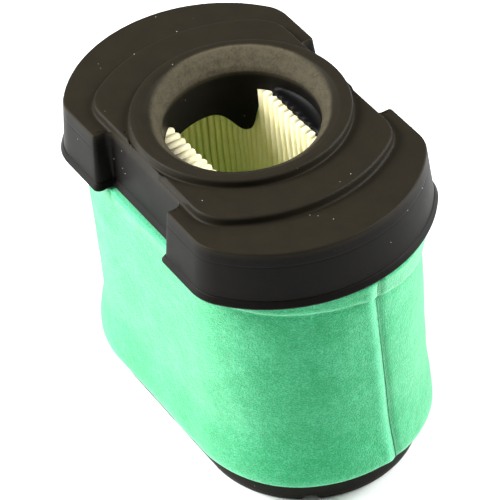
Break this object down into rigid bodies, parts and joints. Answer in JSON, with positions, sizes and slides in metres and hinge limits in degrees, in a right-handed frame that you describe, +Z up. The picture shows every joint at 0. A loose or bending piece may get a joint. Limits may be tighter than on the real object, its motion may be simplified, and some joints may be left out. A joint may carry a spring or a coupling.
{
  "type": "air filter cartridge",
  "caption": "Oval pleated air filter cartridge with moulded rubber end caps, a stepped round port and a slip-on foam pre-cleaner sleeve.",
  "frame": {"origin": "middle of the base, on the surface that the cartridge stands on", "axes": "+X along the long axis, towards the end with the foam's butt joint; +Z up, out of the port"},
  "size_m": [0.158, 0.1012, 0.136],
  "materials": {
    "cap_rubber": "matte moulded",
    "filter_paper": "matte",
    "adhesive": "satin",
    "green_foam": "open-cell foam",
    "seam_glue": "matte"
  },
  "bodies": {
    "sleeve": {"foam_sleeve": "green_foam", "foam_seam": "seam_glue"},
    "cartridge": {"top_cap": "cap_rubber", "bottom_cap": "cap_rubber", "pleated_paper": "filter_paper", "paper_joint": "adhesive", "upper_pleat_bead": "adhesive", "lower_pleat_bead": "adhesive"}
  },
  "joints": [
    {"name": "cartridge_lift", "type": "slide", "parent": "sleeve", "child": "cartridge", "axis": [0, 0, 1], "range_m": [0, 0.114]}
  ]
}
